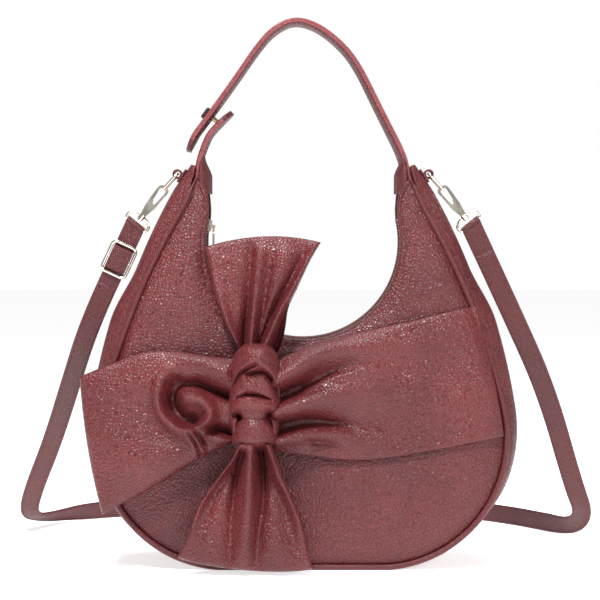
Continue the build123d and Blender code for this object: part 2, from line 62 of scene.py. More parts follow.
camera_data = bpy.data.cameras.new("camera")
camera_data.lens = 107.2
camera_data.sensor_width = 36.0
camera = bpy.data.objects.new("camera", camera_data)
bpy.context.scene.collection.objects.link(camera)
look_from(camera, (0.0, -1.4, 0.25), (-0.0024, 0.0, 0.2048))
bpy.context.scene.camera = camera
bpy.context.scene.view_settings.view_transform = "Standard"

world = bpy.data.worlds.new("studio")
bpy.context.scene.world = world
world.use_nodes = True
backdrop = world.node_tree.nodes["Background"]
backdrop.inputs["Color"].default_value = (1.0, 1.0, 1.0, 1.0)
seen = world.node_tree.nodes.new("ShaderNodeLightPath")
brightness = world.node_tree.nodes.new("ShaderNodeMapRange")
brightness.inputs["To Min"].default_value = 0.30
brightness.inputs["To Max"].default_value = 1.0
world.node_tree.links.new(seen.outputs["Is Camera Ray"], brightness.inputs["Value"])
world.node_tree.links.new(brightness.outputs[0], backdrop.inputs["Strength"])


def soft_light(name, place, target, size, power):
    data = bpy.data.lights.new(name, "AREA")
    data.shape = "RECTANGLE"
    data.size, data.size_y = size
    data.energy = power
    light = bpy.data.objects.new(name, data)
    bpy.context.scene.collection.objects.link(light)
    look_from(light, place, target)


soft_light("key", (-0.30, -0.70, 1.35), (0.0, -0.05, 0.18), (0.26, 0.26), 25.0)
soft_light("fill", (0.9, -1.1, 0.75), (0.0, 0.0, 0.18), (0.35, 0.35), 6.0)
soft_light("top", (0.05, 0.25, 1.3), (0.0, 0.0, 0.2), (0.9, 0.6), 12.0)


# ---------------------------------------------------------------- materials
def maths(tree, operation, first, second):
    node = tree.nodes.new("ShaderNodeMath")
    node.operation = operation
    for socket, value in zip(node.inputs, (first, second)):
        if isinstance(value, (int, float)):
            socket.default_value = value
        else:
            tree.links.new(value, socket)
    return node.outputs[0]


def ramp(tree, value, low, high, out_low, out_high):
    node = tree.nodes.new("ShaderNodeMapRange")
    node.interpolation_type = "SMOOTHSTEP"
    for name, number in zip(
        ("From Min", "From Max", "To Min", "To Max"), (low, high, out_low, out_high)
    ):
        node.inputs[name].default_value = number
    tree.links.new(value, node.inputs["Value"])
    return node.outputs[0]


def mixed(tree, factor, first, second):
    node = tree.nodes.new("ShaderNodeMix")
    node.data_type = "RGBA"
    tree.links.new(factor, node.inputs["Factor"])
    for socket, value in ((node.inputs[6], first), (node.inputs[7], second)):
        if isinstance(value, tuple):
            socket.default_value = (*value, 1.0)
        else:
            tree.links.new(value, socket)
    return node.outputs[2]


def textured(tree, kind, scale, vector, **settings):
    node = tree.nodes.new(kind)
    for name, value in settings.items():
        if hasattr(node, name):
            setattr(node, name, value)
        else:
            node.inputs[name.replace("_", " ")].default_value = value
    node.inputs["Scale"].default_value = scale
    tree.links.new(vector, node.inputs["Vector"])
    return node


def new_material(name, roughness=0.5, metallic=0.0, sheen=0.0, specular=0.5):
    material = bpy.data.materials.new(name)
    material.use_nodes = True
    tree = material.node_tree
    shader = tree.nodes["Principled BSDF"]
    shader.inputs["Roughness"].default_value = roughness
    shader.inputs["Metallic"].default_value = metallic
    shader.inputs["Sheen Weight"].default_value = sheen
    shader.inputs["Specular IOR Level"].default_value = specular
    coordinates = tree.nodes.new("ShaderNodeTexCoord").outputs["Object"]
    return material, tree, shader, coordinates


def add_bump(tree, shader, height, distance):
    bump = tree.nodes.new("ShaderNodeBump")
    bump.inputs["Distance"].default_value = distance
    bump.inputs["Strength"].default_value = 1.0
    tree.links.new(height, bump.inputs["Height"])
    tree.links.new(bump.outputs["Normal"], shader.inputs["Normal"])


def warped(tree, coordinates, scale, amount):
    """Texture coordinates pushed about a little, so that a grain doesn't look drawn."""
    wobble = textured(tree, "ShaderNodeTexNoise", scale, coordinates, Detail=2.0)
    centred = tree.nodes.new("ShaderNodeVectorMath")
    centred.operation = "SUBTRACT"
    centred.inputs[1].default_value = (0.5, 0.5, 0.5)
    tree.links.new(wobble.outputs["Color"], centred.inputs[0])
    scaled = tree.nodes.new("ShaderNodeVectorMath")
    scaled.operation = "SCALE"
    scaled.inputs["Scale"].default_value = amount
    tree.links.new(centred.outputs[0], scaled.inputs[0])
    added = tree.nodes.new("ShaderNodeVectorMath")
    added.operation = "ADD"
    tree.links.new(coordinates, added.inputs[0])
    tree.links.new(scaled.outputs[0], added.inputs[1])
    return added.outputs[0]


def leather(name, colour, grain=430.0, depth=0.00030, roughness=0.40, worn=False):
    """Pebbled leather: rounded grains with creases between, painted shade darkening the creases,
    soft patches of tone, satin gloss.
    """
    material, tree, shader, coordinates = new_material(name, roughness, 0.0, 0.02, 0.48)
    shader.inputs["Sheen Tint"].default_value = (1.0, 0.72, 0.74, 1.0)
    shader.inputs["Sheen Roughness"].default_value = 0.45
    moved = warped(tree, coordinates, grain * 0.35, 0.9 / grain)
    edges = textured(tree, "ShaderNodeTexVoronoi", grain, moved, feature="DISTANCE_TO_EDGE")
    cells = textured(tree, "ShaderNodeTexVoronoi", grain, moved, feature="F1")
    patches = textured(tree, "ShaderNodeTexNoise", 14.0, coordinates, Detail=3.0)
    fine = textured(tree, "ShaderNodeTexNoise", grain * 3.2, coordinates, Detail=2.0)
    pebble = ramp(tree, edges.outputs["Distance"], 0.0, 0.22, 0.0, 0.55)
    dome = maths(tree, "MULTIPLY", maths(tree, "SUBTRACT", 0.7, cells.outputs["Distance"]), 1.1)
    height = maths(tree, "ADD", pebble, dome)
    height = maths(tree, "ADD", height, maths(tree, "MULTIPLY", fine.outputs["Fac"], 0.05))
    add_bump(tree, shader, height, depth)
    # painted shade: the creases between the pebbles are mixed towards this darker colour below
    painted_crease_shade = tuple(0.58 * c for c in colour)
    light = (min(1.0, colour[0] * 1.5), colour[1] * 2.2, colour[2] * 2.0)
    tone = mixed(tree, ramp(tree, patches.outputs["Fac"], 0.3, 0.7, 0.0, 1.0),
                 tuple(0.88 * c for c in colour), light if worn else tuple(1.1 * c for c in colour))
    with_crease_shade = mixed(tree, ramp(tree, edges.outputs["Distance"], 0.0, 0.16, 1.0, 0.0), tone, painted_crease_shade)
    grey = tree.nodes.new("ShaderNodeSeparateColor")
    tree.links.new(cells.outputs["Color"], grey.inputs[0])
    speckled = mixed(tree, ramp(tree, grey.outputs[0], 0.5, 1.0, 0.0, 0.15), with_crease_shade, light)
    tree.links.new(speckled, shader.inputs["Base Color"])
    gloss = ramp(tree, grey.outputs[1], 0.0, 1.0, roughness - 0.08, roughness + 0.10)
    tree.links.new(gloss, shader.inputs["Roughness"])
    return material


def metal(name, colour, roughness=0.16, scratch=0.00001):
    """Polished metal with faint rubbed marks."""
    material, tree, shader, coordinates = new_material(name, roughness, 1.0)
    rubbed = textured(tree, "ShaderNodeTexNoise", 900.0, coordinates, Detail=3.0)
    broad = textured(tree, "ShaderNodeTexNoise", 90.0, coordinates, Detail=2.0)
    tone = mixed(tree, broad.outputs["Fac"], tuple(0.9 * c for c in colour), colour)
    tree.links.new(tone, shader.inputs["Base Color"])
    gloss = ramp(tree, broad.outputs["Fac"], 0.3, 0.7, roughness * 0.7, roughness * 1.4)
    tree.links.new(gloss, shader.inputs["Roughness"])
    add_bump(tree, shader, rubbed.outputs["Fac"], scratch)
    return material


def woven(name, colour, pitch=1300.0, depth=0.0001):
    """Plain woven cloth: two crossed sets of threads with slubs, with painted shade in the gaps
    between threads.
    """
    material, tree, shader, coordinates = new_material(name, 0.85, 0.0, 0.3, 0.2)
    moved = warped(tree, coordinates, 120.0, 0.0006)
    threads = [
        textured(tree, "ShaderNodeTexWave", pitch / 6.28, moved, bands_direction=direction)
        for direction in ("X", "Z")
    ]
    across = maths(tree, "MULTIPLY", threads[0].outputs["Fac"], threads[1].outputs["Fac"])
    slubs = textured(tree, "ShaderNodeTexNoise", 400.0, coordinates, Detail=3.0)
    height = maths(tree, "ADD", across, maths(tree, "MULTIPLY", slubs.outputs["Fac"], 0.3))
    # painted shade and light: the colour follows the weave's height, darker in the low gaps between
    # threads and lighter on the thread crowns; the slubs' part is the yarn's own uneven tone
    tree.links.new(
        mixed(tree, height, tuple(0.7 * c for c in colour), tuple(1.15 * c for c in colour)),
        shader.inputs["Base Color"],
    )
    add_bump(tree, shader, height, depth)
    return material


BURGUNDY = (0.098, 0.0095, 0.0118)
body_leather = leather("body_leather", BURGUNDY, worn=True)
piping_leather = leather("piping_leather", (0.108, 0.0105, 0.013), grain=800.0, depth=0.00015)
handle_leather = leather("handle_leather", (0.100, 0.0098, 0.0125), grain=800.0, depth=0.00018)
strap_leather = leather("strap_leather", (0.098, 0.0105, 0.013), grain=800.0, depth=0.00018)
bow_leather = leather("bow_leather", (0.108, 0.0098, 0.0122), roughness=0.37, worn=True)
edge_paint = leather("edge_paint", (0.24, 0.055, 0.062), grain=500.0, depth=0.00003, roughness=0.34)
thread = leather("thread", (0.20, 0.045, 0.052), grain=2600.0, depth=0.00006, roughness=0.6)
metal("gold", (0.93, 0.86, 0.74))
metal("gold_dark", (0.52, 0.40, 0.22), 0.28)
metal("steel", (0.60, 0.60, 0.62), 0.25)
black_metal = metal("black_metal", (0.07, 0.055, 0.05), 0.35)
metal("zip_metal", (0.72, 0.72, 0.72), 0.2)
woven("lining_cloth", (0.30, 0.24, 0.20))
woven("tape_cloth", (0.13, 0.03, 0.035), 1700.0)
woven("board_material", (0.16, 0.13, 0.10), 500.0)
# the metals and cloths that CAD nodes keep, by name
CAD_FINISH = {
    "zip_metal": ("zip_teeth_front", "zip_teeth_back", "zip_stops", "zip_slider", "zip_pull"),
    "tape_cloth": ("zip_tape_front", "zip_tape_back"),
    "lining_cloth": ("lining", "slip_pocket"),
    "board_material": ("base_board",),
    "gold_dark": ("stud_post",),
    "black_metal": ("stud_cap",),
    "steel": ("gate_spring_left", "gate_spring_right"),
    "gold": (
        "side_ring_left", "side_ring_right", "clasp_body_left", "clasp_body_right",
        "clasp_gate_left", "clasp_gate_right", "gate_pin_left", "gate_pin_right",
        "swivel_ring_left", "swivel_ring_right", "adjuster_frame", "adjuster_bar",
    ),
}
for finish, names in CAD_FINISH.items():
    for name in names:
        for material_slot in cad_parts[name].material_slots:
            material_slot.material = bpy.data.materials[finish]


# ---------------------------------------------------------------- mesh helpers, in millimetres
def piece(name, points, faces, material, body, nodes=()):
    mesh = bpy.data.meshes.new(name)
    mesh.from_pydata([tuple(p) for p in np.asarray(points) * MM], [], faces)
    mesh.update()
    bm = bmesh.new()
    bm.from_mesh(mesh)
    bmesh.ops.remove_doubles(bm, verts=bm.verts, dist=1e-6)
    bmesh.ops.recalc_face_normals(bm, faces=bm.faces)
    bm.to_mesh(mesh)
    bm.free()
    mesh.polygons.foreach_set("use_smooth", [True] * len(mesh.polygons))
    obj = bpy.data.objects.new(name, mesh)
    bpy.context.scene.collection.objects.link(obj)
    mesh.materials.append(material)
    if body is not None:
        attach(obj, body)
    if nodes:
        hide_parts(*nodes)
    return obj


def quads(rows, columns, start=0, wrap=False, flip=False):
    """Faces of a grid of rows by columns points. wrap joins the last column to the first."""
    faces = []
    for row in range(rows - 1):
        for column in range(columns if wrap else columns - 1):
            a = start + row * columns + column
            b = start + row * columns + (column + 1) % columns
            c, d = b + columns, a + columns
            faces.append((a, d, c, b) if flip else (a, b, c, d))
    return faces


def closed_grid(rows, columns, ends=()):
    """Faces of two grids of points, one after the other, joined along their sides and end rows."""
    count = rows * columns
    faces = quads(rows, columns) + quads(rows, columns, count, flip=True)
    for row in range(rows - 1):
        for column in (0, columns - 1):
            a = row * columns + column
            faces.append((a, a + columns, a + columns + count, a + count))
    for row in ends:
        for column in range(columns - 1):
            a = row * columns + column
            faces.append((a, a + 1, a + 1 + count, a + count))
    return faces


def spline(points, count):
    """Evenly spaced points on a smooth line through the given ones."""
    points = np.array(points, float)
    ends = np.vstack([2 * points[0] - points[1], points, 2 * points[-1] - points[-2]])
    steps = np.linspace(0, 1, 16, endpoint=False)[:, None]
    fine = []
    for p, q, r, s in zip(ends, ends[1:], ends[2:], ends[3:]):
        fine.append(
            0.5 * (2 * q + (r - p) * steps + (2 * p - 5 * q + 4 * r - s) * steps**2
                   + (3 * q - p - 3 * r + s) * steps**3)
        )
    return evenly(np.vstack([*fine, points[-1:]]), count)


def evenly(line, count):
    lengths = np.concatenate([[0], np.cumsum(np.linalg.norm(np.diff(line, axis=0), axis=1))])
    where = np.linspace(0, lengths[-1], count)
    return np.stack([np.interp(where, lengths, line[:, k]) for k in range(line.shape[1])], 1)


def arc(centre, radius, start, stop, count=60):
    angles = np.radians(np.linspace(start, stop, count))
    return np.stack([centre[0] + radius * np.cos(angles), centre[1] + radius * np.sin(angles)], 1)


def on_front(x, height, depth, side=1):
    """A point on the leaning front, depth outside it; side -1 is the same place on the back."""
    x, height, depth = np.broadcast_arrays(x, height, depth)
    y = -(FOOT - LEAN * height) + depth * OUT[1]
    return np.stack([x, side * y, height + depth * OUT[2]], -1)


def tube(line, radii, sides=12):
    """Ring points of a tube along a line of 3-D points, with its end caps' faces."""
    line = np.asarray(line, float)
    runs = np.gradient(line, axis=0)
    runs /= np.linalg.norm(runs, axis=1)[:, None]
    normal = np.cross(runs[0], (0.3, 0.8, 0.5))
    rings = []
    for place, run, radius in zip(line, runs, np.broadcast_to(radii, len(line))):
        normal = normal - run * np.dot(normal, run)
        normal /= np.linalg.norm(normal)
        other = np.cross(run, normal)
        for k in range(sides):
            turn = 2 * np.pi * k / sides
            rings.append(place + radius * (np.cos(turn) * normal + np.sin(turn) * other))
    faces = quads(len(line), sides, wrap=True)
    faces.append(tuple(range(sides)))
    faces.append(tuple(reversed(range(len(rings) - sides, len(rings)))))
    return np.array(rings), faces


def stitches(name, runs, body, pitch=3.4, length=2.5, radius=0.32):
    """Rows of thread: one slim closed lozenge for each stitch, along lines of (point, normal)."""
    points, faces = [], []
    for line, normals in runs:
        line, normals = np.asarray(line, float), np.asarray(normals, float)
        total = np.linalg.norm(np.diff(line, axis=0), axis=1).sum()
        count = max(2, int(total / pitch))
        places = evenly(np.hstack([line, normals]), count * 2 + 1)[1::2]
        ahead = evenly(line, count * 2 + 1)
        tangents = ahead[2::2] - ahead[:-2:2]
        for place, run in zip(places, tangents):
            run = run / np.linalg.norm(run)
            up = place[3:] / np.linalg.norm(place[3:])
            side = np.cross(run, up)
            first = len(points)
            for along, share in ((-0.5, 0.25), (-0.3, 0.9), (0.3, 0.9), (0.5, 0.25)):
                for turn in range(6):
                    angle = np.pi * turn / 3
                    points.append(
                        place[:3] + run * along * length
                        + radius * share * (np.cos(angle) * side + np.sin(angle) * up)
                    )
            faces += quads(4, 6, first, wrap=True)
            faces.append(tuple(first + k for k in range(6)))
            faces.append(tuple(first + 18 + k for k in reversed(range(6))))
    return piece(name, points, faces, thread, body)


def softened(name, node, material, body, width=0.35):
    """A copy of a CAD node's mesh with its flat faces merged and its edges rounded."""
    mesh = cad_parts[node].data.copy()
    mesh.transform(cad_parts[node].matrix_world)
    bm = bmesh.new()
    bm.from_mesh(mesh)
    bmesh.ops.remove_doubles(bm, verts=bm.verts, dist=1e-6)
    bmesh.ops.dissolve_limit(bm, angle_limit=radians(3), verts=bm.verts, edges=bm.edges)
    sharp = [e for e in bm.edges if len(e.link_faces) == 2 and e.calc_face_angle() > radians(35)]
    bmesh.ops.bevel(
        bm, geom=sharp, offset=width * MM, segments=3, profile=0.5, affect="EDGES",
        clamp_overlap=True,
    )
    bmesh.ops.triangulate(bm, faces=bm.faces)
    bm.to_mesh(mesh)
    bm.free()
    mesh.materials.clear()
    mesh.materials.append(material)
    mesh.polygons.foreach_set("use_smooth", [True] * len(mesh.polygons))
    obj = bpy.data.objects.new(name, mesh)
    bpy.context.scene.collection.objects.link(obj)
    smoother = obj.modifiers.new("corners", "EDGE_SPLIT")
    smoother.split_angle = radians(50)
    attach(obj, body)
    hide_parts(node)
    return obj


# ---------------------------------------------------------------- outlines of the bag
# centres of the arcs, and the radii of the panel's and the neck's
CORNER, SIDE, SHOULDER = (58.0, 100.0), (-352.8, 12.7), (33.2, 249.2)
CORNER_RADIUS, SIDE_RADIUS, NECK_RADIUS, NECK_CENTRE = 100, 520, 75.0, 250.0
GUSSET_CORNER, GUSSET_SIDE = (58.0, 104.0), (-346.65, 39.9)
TIP = (82.6, 301.5)


def outline(inset, count):
    """Right half of the panel's edge, from the middle of the base to the horn's tip."""
    low = [(0.0, inset), (58.0, inset)]
    corner = arc(CORNER, CORNER_RADIUS - inset, -90, 12)
    side = arc(SIDE, SIDE_RADIUS - inset, 12, 30.5)
    tip = np.array([(TIP[0] - 0.15 * inset, TIP[1] - 0.6 * inset)])
    return evenly(np.vstack([low, corner[1:], side[1:], tip]), count)


def neckline(count):
    """Right half of the open neck, from its lowest point to the horn's tip."""
    curve = arc((0.0, NECK_CENTRE), NECK_RADIUS, -90, 13)
    up = np.array([(72.6, 276.0), (73.4, 287.0), (77.0, 295.0), (TIP[0] - 0.8, TIP[1] - 1.5)])
    return evenly(np.vstack([curve, up]), count)


def shoulder_line(count):
    """Right half of the gusset's middle, from under the base to the top of the horn."""
    rows = [
        np.array([(0.0, 0.3), (58.0, 0.3)]),
        arc(GUSSET_CORNER, 103.7, -90, 9)[1:],
        arc(GUSSET_SIDE, 513.4, 9, 28.86)[1:],
        arc(SHOULDER, 79.7, 28.86, 36)[1:],
        np.array([(87.4, 310.6)]),
    ]
    line = evenly(np.vstack(rows), count)
    out = np.gradient(line, axis=0)
    out = np.stack([out[:, 1], -out[:, 0]], 1) / np.linalg.norm(out, axis=1)[:, None]
    rise = np.clip(line[:, 1] / 70.0, 0, 1) * np.clip((232.0 - line[:, 1]) / 45.0, 0, 1)
    return line + out * (6.0 * rise * rise * (3 - 2 * rise))[:, None]


def both_halves(right):
    """The whole line from the left tip under the base to the right tip."""
    left = right[::-1] * (-1, 1)
    return np.vstack([left[:-1], right])


# ---------------------------------------------------------------- panels
ALONG, ACROSS = 170, 46
inner = both_halves(neckline(ALONG))
outer = both_halves(outline(3.2, ALONG))
share = 0.5 - 0.5 * np.cos(np.pi * np.linspace(0, 1, ACROSS))
share = 0.45 * share + 0.55 * np.linspace(0, 1, ACROSS)
flat = outer[:, None] * (1 - share[None, :, None]) + inner[:, None] * share[None, :, None]
span = np.linalg.norm(inner - outer, axis=1)[:, None]
from_edge, from_neck = span * share[None], span * (1 - share[None])


def sag(x, z, size, seed):
    return np.array(
        [noise.noise(Vector((a / size, b / size, seed))) for a, b in zip(x.ravel(), z.ravel())]
    ).reshape(x.shape)


fullness = np.clip(span / 110.0, 0.1, 1.0)
swell = (1 - np.exp(-from_edge / 13.0)) * (1 - np.exp(-from_neck / 9.0))
puff = -0.4 + 8.4 * fullness * swell
puff += 1.6 * fullness * swell * sag(flat[..., 0], flat[..., 1], 55.0, 3.7)
puff += 0.7 * fullness * swell * sag(flat[..., 0], flat[..., 1], 21.0, 8.1)
# a stitched groove a little inside the rolled neck edge, and the roll itself
puff += 1.3 * np.exp(-((from_neck - 2.2) / 2.0) ** 2)
puff -= 0.9 * np.exp(-((from_neck - 4.6) / 0.8) ** 2)
puff -= 1.4 * np.exp(-(from_neck / 0.7) ** 2)
puff += 0.5 * np.exp(-((from_edge - 2.0) / 1.6) ** 2)
panel_objects = {}
for side, label in ((1, "front"), (-1, "back")):
    shell = on_front(flat[..., 0], flat[..., 1], puff, side)
    lining_side = on_front(flat[..., 0], flat[..., 1], np.minimum(puff - 1.6, -0.2), side)
    points = np.vstack([shell.reshape(-1, 3), lining_side.reshape(-1, 3)])
    faces = closed_grid(len(inner), ACROSS)
    panel_objects[label] = piece(
        label + "_leather", points, faces, body_leather, "bag",
        [label + "_panel"],
    )

panel_tree = BVHTree.FromObject(
    panel_objects["front"], bpy.context.evaluated_depsgraph_get()
)


def panel_height(x, z):
    """How far the puffed front stands out from its leaning plane at a place, or 0 outside it."""
    hit = panel_tree.ray_cast(Vector((x * MM, -0.3, z * MM)), Vector((0, 1, 0)))[0]
    if hit is None:
        return 0.0
    return max(0.0, (-(FOOT - LEAN * z) - hit.y / MM) * cos(lean_angle))


# ---------------------------------------------------------------- piping
PIPING_RADIUS = 2.3
for side, label in ((1, "front"), (-1, "back")):
    edge = both_halves(outline(1.7, ALONG))
    places = np.arange(len(edge))
    thickness = PIPING_RADIUS * np.clip(np.minimum(places, places[::-1]) / 6, 0.3, 1)
    line = on_front(edge[:, 0], np.maximum(edge[:, 1], 1.9), 1.4, side)
    points, faces = tube(line, thickness, 14)
    piece(label + "_piping", points, faces, piping_leather, "bag",
          ["piping_" + label])

# ---------------------------------------------------------------- gusset
WIDE = 71
edge_half = outline(0.6, ALONG)
mid_half = shoulder_line(ALONG)
edge_half[-12:] = edge_half[-12:] + (np.linspace(0, 1, 12) ** 2)[:, None] * (
    np.array([85.0, 309.5]) - edge_half[-1]
)
u = np.sin(np.linspace(-0.5, 0.5, WIDE) * np.pi)
u = 0.5 * u + 0.5 * np.linspace(-1, 1, WIDE)
for sign, label in ((1, "right"), (-1, "left")):
    lift = 1 - np.abs(u) ** 2.4
    share = lift[None, :, None]
    profile = edge_half[:, None] * (1 - share) + mid_half[:, None] * share
    half_depth = FOOT - LEAN * edge_half[:, 1] + 0.2
    y = u[None, :] * half_depth[:, None]
    run = np.gradient(edge_half, axis=0)
    run /= np.linalg.norm(run, axis=1)[:, None]
    away = np.stack([run[:, 1], -run[:, 0]], 1)
    from_seam = half_depth[:, None] - np.abs(y)
    ridge = 1.1 * np.exp(-((from_seam - 4.2) / 1.3) ** 2)
    ridge -= 0.7 * np.exp(-((from_seam - 7.0) / 0.9) ** 2)
    ridge *= np.clip(half_depth[:, None] / 30.0, 0.35, 1)
    profile = profile + away[:, None] * ridge[..., None]
    z = np.maximum(profile[..., 1], 0.25)
    shell = np.stack([sign * profile[..., 0], y, z], -1)
    back = np.stack([sign * (profile[..., 0] - 2.0 * away[:, None, 0]), y * 0.985,
                     z - 2.0 * away[:, None, 1]], -1)
    points = np.vstack([shell.reshape(-1, 3), back.reshape(-1, 3)])
    faces = closed_grid(ALONG, WIDE, (ALONG - 1,))
    piece("gusset_leather_" + label, points, faces, body_leather, "bag",
          ["gusset_" + label])

# ---------------------------------------------------------------- neck facings
# the facing's section, down its face and up its back: distance in from the wall, and thickness
FACING_SECTION = (
    (-1.6, 0.9), (-1.0, 0.2), (0.0, 0.0), (2.0, 0.1), (5.0, 0.2), (9.0, 0.3), (14.0, 0.4),
    (14.0, 1.5), (5.0, 1.4), (0.0, 1.3), (-1.4, 1.4),
)
neck_full = both_halves(neckline(ALONG))
for side, label in ((1, "front"), (-1, "back")):
    inward = neck_full - (0, NECK_CENTRE)
    inward = np.where(neck_full[:, 1:] < 262, inward, np.sign(inward) * (1, 0))
    inward /= np.maximum(np.linalg.norm(inward, axis=1), 1e-6)[:, None]
    keep = slice(9, len(neck_full) - 9)
    line, inward = neck_full[keep], inward[keep]
    wall = FOOT - LEAN * line[:, 1]
    strips = []
    for depth_in, radial in FACING_SECTION:
        y = np.maximum(wall - depth_in, 11.0)
        strips.append(np.stack([line[:, 0] + inward[:, 0] * radial, -side * y,
                                line[:, 1] + inward[:, 1] * radial], 1))
    grid = np.array(strips)
    faces = quads(len(strips), len(line))
    faces += [(k, k + 1, (len(strips) - 1) * len(line) + k + 1, (len(strips) - 1) * len(line) + k)
              for k in range(len(line) - 1)]
    piece("facing_leather_" + label, grid.reshape(-1, 3), faces, handle_leather, "bag",
          ["neck_facing_" + label])


# ---------------------------------------------------------------- handle
def quadratic(points, count):
    """A smooth line pulled along by the given points, which it starts and ends on."""
    points = np.array(points, float)
    middles = (points[1:] + points[:-1]) / 2
    knots = [points[0], *middles[1:-1], points[-1]]
    t = np.linspace(0, 1, 20)[:, None]
    parts = [
        (1 - t) ** 2 * a + 2 * t * (1 - t) * b + t**2 * c
        for a, b, c in zip(knots, points[1:-1], knots[1:])
    ]
    return evenly(np.vstack(parts), count)


def band_section(half, thick, cup):
    """Section of a two-layer strap: (across, out) points, its middle cupped by cup."""
    across = np.linspace(-1, 1, 25)
    top = [(a * (half - 0.8), thick) for a in across]
    right = [(half - 0.25, thick * 0.78), (half, thick * 0.4), (half - 0.28, 0.0),
             (half, -thick * 0.4), (half - 0.25, -thick * 0.78)]
    low = [(-a * (half - 0.8), -thick) for a in across]
    left = [(-p[0], -p[1]) for p in right]
    ring = np.array(top + right + low + left)
    ring[:, 1] -= cup * (1 - (ring[:, 0] / half) ** 2)
    return ring


def swept_band(line, halves, thick, cups):
    """A strap along a line in the XZ plane; out is to the right of its run."""
    run = np.gradient(line, axis=0)
    run /= np.linalg.norm(run, axis=1)[:, None]
    out = np.stack([run[:, 1], -run[:, 0]], 1)
    points = []
    for place, normal, half, cup in zip(line, out, halves, cups):
        ring = band_section(half, thick, cup)
        points.append(np.stack([place[0] + normal[0] * ring[:, 1], ring[:, 0],
                                place[1] + normal[1] * ring[:, 1]], 1))
    count = len(points[0])
    points = np.vstack(points)
    faces = quads(len(line), count, wrap=True)
    faces.append(tuple(range(count)))
    faces.append(tuple(reversed(range(len(points) - count, len(points)))))
    return points, faces, out


EDGE_REACH = 0.65


def edge_material(obj, half):
    """Gives the painted edge its own finish."""
    obj.data.materials.append(edge_paint)
    for polygon in obj.data.polygons:
        places = [abs(obj.data.vertices[k].co.y) / MM for k in polygon.vertices]
        if all(abs(place - half) < EDGE_REACH for place in places):
            polygon.material_index = 1


HANDLE = [
    (82.6, 294.0), (81.4, 309.0), (76.2, 323.0), (68.6, 337.5), (56.4, 361.5), (44.2, 386.0),
    (31.7, 402.8), (12.2, 418.2), (-6.5, 423.6), (-21.5, 416.8), (-33.6, 405.0), (-56.0, 372.0),
    (-79.0, 340.7), (-86.4, 331.0), (-89.6, 320.5),
]
TAB = [(-82.6, 294.0), (-81.6, 309.0), (-76.6, 325.0), (-70.5, 337.5), (-55.1, 351.1)]
HALF_WIDTH, END_ROUND, LAYERS_HALF = 13.0, 12.0, 1.95


def round_end(line):
    """Half widths along a strap, rounded off towards its free end, and the lengths along it."""
    lengths = np.concatenate([[0], np.cumsum(np.linalg.norm(np.diff(line, axis=0), axis=1))])
    left = lengths[-1] - lengths
    short = np.clip(1 - left / END_ROUND, 0, 1)
    return np.maximum(HALF_WIDTH * np.sqrt(1 - short**2), 1.6), lengths


handle_line = quadratic(HANDLE, 230)
handle_halves, handle_lengths = round_end(handle_line)
handle_cups = 3.6 * np.exp(-handle_lengths / 260.0) + 0.4
handle_cups *= np.clip((handle_halves / HALF_WIDTH) ** 2, 0.2, 1)
points, faces, handle_out = swept_band(handle_line, handle_halves, LAYERS_HALF, handle_cups)
handle_obj = piece("handle_strap", points, faces, handle_leather, "handle",
                   ["handle_outer_layer", "handle_inner_layer"])
edge_material(handle_obj, HALF_WIDTH)

tab_line = quadratic(TAB, 90)
tab_halves, _ = round_end(tab_line)
tab_cups = 1.2 * (tab_halves / HALF_WIDTH) ** 2
points, faces, tab_out = swept_band(tab_line, tab_halves, LAYERS_HALF, tab_cups)
tab_obj = piece("handle_tab", points, faces, handle_leather, "handle",
                ["handle_tab_outer", "handle_tab_inner"])
edge_material(tab_obj, HALF_WIDTH)

for line, out, cups, halves, label in (
    (handle_line, handle_out, handle_cups, handle_halves, "handle"),
    (tab_line, tab_out, tab_cups, tab_halves, "tab"),
):
    runs = []
    for side in (1, -1):
        for face in (1, -1):
            inset = halves - 3.0
            sunk = cups * (1 - (inset / np.maximum(halves, 1)) ** 2)
            lift = face * 1.97 - sunk
            row = np.stack([line[:, 0] + out[:, 0] * lift, side * inset,
                            line[:, 1] + out[:, 1] * lift], 1)
            normals = np.stack([out[:, 0] * face, out[:, 0] * 0, out[:, 1] * face], 1)
            sewn = slice(14, -14) if label == "tab" else slice(18, -8)
            runs.append((row[sewn], normals[sewn]))
    stitches(label + "_stitching", runs, "handle")

# legs: the inner ends of the strap, wrapped round the neck side of each horn
LEG_ROWS, LEG_COLUMNS = 44, 41
LEG_BEND, LEG_TOP = 300.0, 317.0
for sign, label in ((1, "right"), (-1, "left")):
    across = np.linspace(-1, 1, LEG_COLUMNS)
    points = []
    for layer in (0.0, 1.6):
        for row in np.linspace(0, 1, LEG_ROWS):
            bottom = 287.4 + 12.5 * (1 - np.sqrt(1 - 0.985 * np.abs(across) ** 2.4))
            height = bottom + (LEG_TOP - bottom) * row
            rise = np.clip((height - LEG_BEND) / (LEG_TOP - LEG_BEND), 0, 1)
            rise = rise * rise * (3 - 2 * rise)
            middle = 70.9 + 5.6 * rise
            rim = 79.9 - 1.4 * rise
            reach = 16.6 - 3.7 * rise
            turn = across * np.pi / 2 * 0.98
            x = middle + layer * (1 - 0.2 * np.abs(across))
            x = x + (rim - middle) * (1 - np.cos(turn)) ** 0.9
            y = (reach - layer * 0.6) * np.sin(turn)
            points.append(np.stack([sign * x, y, height], 1))
    points = np.vstack(points)
    faces = closed_grid(LEG_ROWS, LEG_COLUMNS, (0, LEG_ROWS - 1))
    leg = piece("handle_leg_leather_" + label, points, faces, handle_leather, None,
                ["handle_leg_" + label])
    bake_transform(leg)

# ---------------------------------------------------------------- ring loops and hardware
for label in ("left", "right"):
    softened("ring_roll_" + label, "ring_loop_" + label, handle_leather, "bag",
             0.4)
    softened("strap_end_" + label, "strap_fold_" + label, strap_leather, "bag",
             0.4)
softened("keeper_loop", "adjuster_loop", strap_leather, "adjuster", 0.4)
softened("cap_of_stud", "stud_cap", black_metal, "handle", 0.5)

